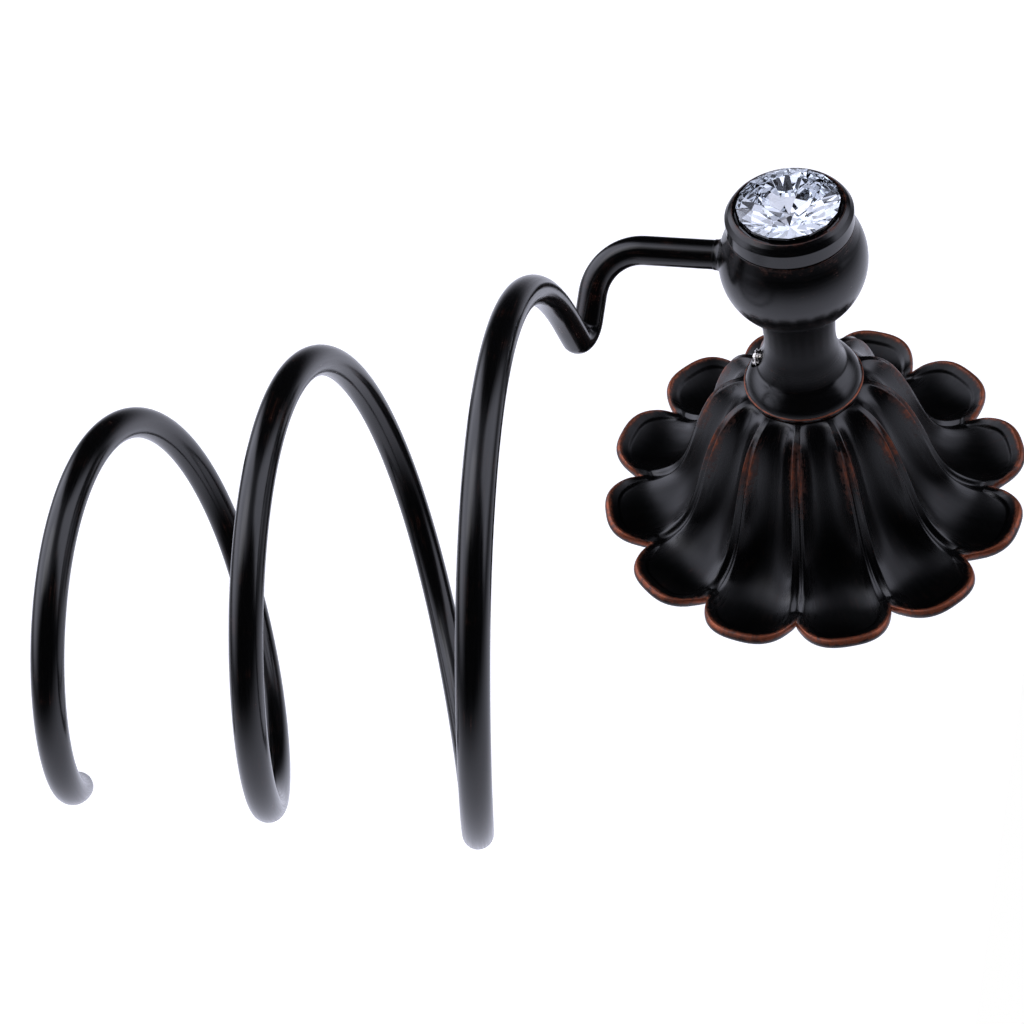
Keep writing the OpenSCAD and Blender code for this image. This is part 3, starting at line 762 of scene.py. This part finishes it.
def make_floor():
    """A wide pale floor well below the holder."""
    size, height = 12.0, cad_low[2] - 0.5
    corners = [(-size, -size, height), (size, -size, height), (size, size, height), (-size, size, height)]
    mesh = bpy.data.meshes.new("floor")
    mesh.from_pydata(corners, [], [(0, 1, 2, 3)])
    material, tree, shader = new_material("floor_white")
    place = add(tree, "ShaderNodeTexCoord").outputs["Object"]
    speckle = noise(tree, place, 30.0, 2.0)
    tree.links.new(mix_colour(tree, speckle, (0.90, 0.90, 0.90, 1), (0.93, 0.93, 0.93, 1)),
                   shader.inputs["Base Color"])
    shader.inputs["Roughness"].default_value = 0.9
    shader.inputs["Emission Color"].default_value = (1, 1, 1, 1)
    shader.inputs["Emission Strength"].default_value = 0.55
    mesh.materials.append(material)
    floor = bpy.data.objects.new("floor", mesh)
    bpy.context.scene.collection.objects.link(floor)
    # The holder's own reflections show the light tent, not this far floor
    floor.visible_glossy = False
    floor.visible_transmission = False


make_floor()

CAMERA_AT = Vector((0.2842, -0.3462, 0.0691))
LOOKS_AT = Vector((0.0494, -0.0444, -0.0485))
PICTURE_UP = Vector((-0.7671, -0.6343, -0.0961))
LENS = 71.53

camera_data = bpy.data.cameras.new("camera")
camera_data.lens = LENS
camera_data.sensor_width = 36
camera_data.clip_start, camera_data.clip_end = 0.01, 100
camera = bpy.data.objects.new("camera", camera_data)
bpy.context.scene.collection.objects.link(camera)
forward = (LOOKS_AT - CAMERA_AT).normalized()
right = forward.cross(PICTURE_UP).normalized()
above = right.cross(forward)
camera.matrix_world = Matrix.Translation(CAMERA_AT) @ Matrix((right, above, -forward)).transposed().to_4x4()
bpy.context.scene.camera = camera


def make_world():
    """A light tent: white table, a tall soft box on either side, a roof brighter on its left.

    The front and the back are dark. Transmission rays see a dimmer tent and a patchy room.
    """
    world = bpy.data.worlds.new("studio")
    bpy.context.scene.world = world
    world.use_nodes = True
    tree = world.node_tree
    tree.nodes.clear()
    way = add(tree, "ShaderNodeTexCoord").outputs["Generated"]

    def along(direction):
        dot = add(tree, "ShaderNodeVectorMath", {0: way, 1: tuple(direction)}, operation="DOT_PRODUCT")
        return dot.outputs["Value"]

    def product(*values):
        out = values[0]
        for value in values[1:]:
            out = math_node(tree, "MULTIPLY", out, value)
        return out

    up = along((0, -1, 0))
    front = along((0.894, 0, 0.448))
    left = along((0.448, 0, -0.894))
    azimuth = math_node(tree, "ARCTAN2", left, front)
    height = product(spread(tree, up, -0.20, 0.25), spread(tree, up, 0.86, 0.98, 1.0, 0.0))
    table = spread(tree, up, -0.66, -0.02, 1.0, 0.0)
    left_box = product(spread(tree, azimuth, 0.95, 1.85),
                       spread(tree, azimuth, 2.55, 2.85, 1.0, 0.0), height, 2.3)
    right_box = product(spread(tree, azimuth, -2.15, -1.75),
                        spread(tree, azimuth, -1.15, -0.95, 1.0, 0.0), height, 1.7)
    roof = product(spread(tree, up, 0.86, 0.98), spread(tree, left, 0.0, 0.35, 0.25, 1.5))
    # Through the crystal's facets mostly the room behind the tent shows
    path = add(tree, "ShaderNodeLightPath").outputs
    through = path["Is Transmission Ray"]
    room = product(spread(tree, noise(tree, way, 2.6, 1.0), 0.47, 0.58, 0.03, 0.85), through)
    strength = math_node(tree, "ADD", table, 0.015)
    for part in (left_box, right_box, roof):
        strength = math_node(tree, "ADD", strength, part)
    strength = math_node(tree, "MULTIPLY", strength, math_node(tree, "SUBTRACT", 1.0, product(through, 0.65)))
    strength = math_node(tree, "ADD", strength, room)
    seen = path["Is Camera Ray"]
    light = add(tree, "ShaderNodeBackground",
                {"Color": (0.95, 0.97, 1.14, 1), "Strength": strength}).outputs[0]
    backdrop = add(tree, "ShaderNodeBackground", {"Color": (1, 1, 1, 1), "Strength": 1.0}).outputs[0]
    both = add(tree, "ShaderNodeMixShader", {0: seen, 1: light, 2: backdrop}).outputs[0]
    add(tree, "ShaderNodeOutputWorld", {"Surface": both})


make_world()


def soft_box(name, at, target, size, power):
    """A rectangular area light that the camera doesn't see."""
    light = bpy.data.lights.new(name, "AREA")
    light.shape = "RECTANGLE"
    light.size, light.size_y = size
    light.energy = power
    lamp = bpy.data.objects.new(name, light)
    bpy.context.scene.collection.objects.link(lamp)
    lamp.location = at
    lamp.rotation_euler = (Vector(target) - Vector(at)).to_track_quat("-Z", "Y").to_euler()
    lamp.visible_camera = False
    return lamp


# It stands high up at the left of the picture
soft_box("overhead", (0.27, -0.90, -0.54), (0.03, -0.05, -0.04), (0.55, 0.55), 0.8)

bpy.context.scene.view_settings.view_transform = "Standard"
# With Cycles' own 4 glossy bounces, about a quarter of the crystal's face renders black
GLOSSY_BOUNCES = 12
bpy.context.scene.cycles.glossy_bounces = GLOSSY_BOUNCES
